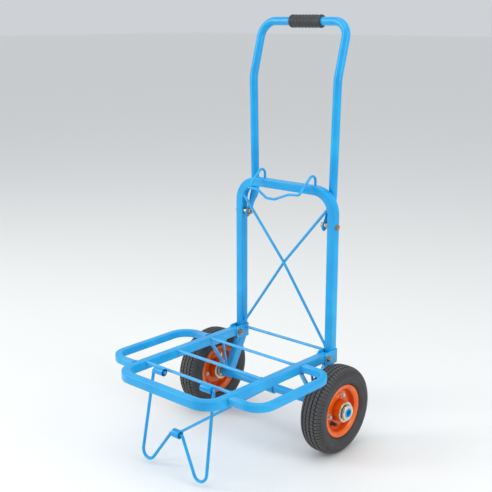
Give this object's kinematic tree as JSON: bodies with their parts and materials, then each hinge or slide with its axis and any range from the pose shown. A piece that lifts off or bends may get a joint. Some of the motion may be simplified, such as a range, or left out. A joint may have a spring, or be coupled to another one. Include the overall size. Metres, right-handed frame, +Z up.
{
  "type": "folding platform cart",
  "caption": "Two-wheel folding hand cart: square-tube upright and flat platform, wire front leg with link, fold-back handle and pneumatic wheels.",
  "frame": {"origin": "on the floor below the middle of the bounding box", "axes": "+Z up, +X to the right seen from the front, platform reaches towards -Y, handle side is +Y"},
  "size_m": [0.459, 0.4814, 0.9516],
  "materials": {
    "blue_paint": "gloss sky-blue powder coat on steel tube and wire",
    "orange_paint": "gloss orange paint on pressed steel",
    "tyre_rubber": "matt dark grey rubber",
    "soft_rubber": "matt black rubber",
    "zinc_plate": "zinc-plated steel"
  },
  "bodies": {
    "frame": {"upright_frame": "blue_paint", "cross_brace": "blue_paint", "lower_cross_rod": "blue_paint", "wire_catch": "blue_paint", "axle_tube": "blue_paint", "hinge_bracket_left": "blue_paint", "hinge_bolt_left": "zinc_plate", "hinge_nut_left": "zinc_plate", "axle_collar_left": "blue_paint", "platform_rest_left": "blue_paint", "handle_bolt_left": "zinc_plate", "handle_nut_left": "zinc_plate", "handle_spacer_left": "zinc_plate", "axle_cap_left": "zinc_plate", "axle_spacer_left": "zinc_plate", "hinge_bracket_right": "blue_paint", "hinge_bolt_right": "zinc_plate", "hinge_nut_right": "zinc_plate", "axle_collar_right": "blue_paint", "platform_rest_right": "blue_paint", "handle_bolt_right": "zinc_plate", "handle_nut_right": "zinc_plate", "handle_spacer_right": "zinc_plate", "axle_cap_right": "zinc_plate", "axle_spacer_right": "zinc_plate"},
    "platform": {"platform_frame": "blue_paint", "cross_rod_front": "blue_paint", "cross_rod_middle": "blue_paint", "cross_rod_rear": "blue_paint", "side_wing_left": "blue_paint", "side_wing_right": "blue_paint", "leg_sleeve_left": "blue_paint", "leg_sleeve_right": "blue_paint"},
    "leg": {"front_leg": "blue_paint"},
    "link": {"leg_link": "blue_paint"},
    "handle": {"handle_tube": "blue_paint", "handle_grip": "soft_rubber"},
    "wheel_left": {"tyre_left": "tyre_rubber", "inner_tube_left": "soft_rubber", "valve_stem_left": "soft_rubber", "rim_outer_left": "orange_paint", "rim_inner_left": "orange_paint", "hub_left": "zinc_plate", "bearing_outer_left": "zinc_plate", "bearing_inner_left": "zinc_plate", "rim_bolt_1_left": "zinc_plate", "rim_bolt_2_left": "zinc_plate", "rim_bolt_3_left": "zinc_plate"},
    "wheel_right": {"tyre_right": "tyre_rubber", "inner_tube_right": "soft_rubber", "valve_stem_right": "soft_rubber", "rim_outer_right": "orange_paint", "rim_inner_right": "orange_paint", "hub_right": "zinc_plate", "bearing_outer_right": "zinc_plate", "bearing_inner_right": "zinc_plate", "rim_bolt_1_right": "zinc_plate", "rim_bolt_2_right": "zinc_plate", "rim_bolt_3_right": "zinc_plate"}
  },
  "joints": [
    {"name": "platform_fold", "type": "hinge", "parent": "frame", "child": "platform", "pos_m": [0, 0.14375, 0.2], "axis": [-1, 0, 0], "range_deg": [0, 82]},
    {"name": "leg_fold", "type": "hinge", "parent": "platform", "child": "leg", "pos_m": [0, -0.16825, 0.2053], "axis": [1, 0, 0], "range_deg": [0, 71]},
    {"name": "link_swing", "type": "hinge", "parent": "frame", "child": "link", "pos_m": [0, 0.11795, 0.1], "axis": [-1, 0, 0], "range_deg": [0, 83]},
    {"name": "handle_fold", "type": "hinge", "parent": "frame", "child": "handle", "pos_m": [0, 0.16675, 0.499], "axis": [-1, 0, 0], "range_deg": [0, 155]},
    {"name": "wheel_spin_left", "type": "hinge", "parent": "frame", "child": "wheel_left", "pos_m": [-0.188, 0.11795, 0.1], "axis": [1, 0, 0], "continuous": true},
    {"name": "wheel_spin_right", "type": "hinge", "parent": "frame", "child": "wheel_right", "pos_m": [0.188, 0.11795, 0.1], "axis": [1, 0, 0], "continuous": true}
  ],
  "couplings": [
    {"joint": "leg_fold", "follows": "platform_fold", "ratio": 0.8587},
    {"joint": "link_swing", "follows": "platform_fold", "ratio": 0.9985}
  ]
}
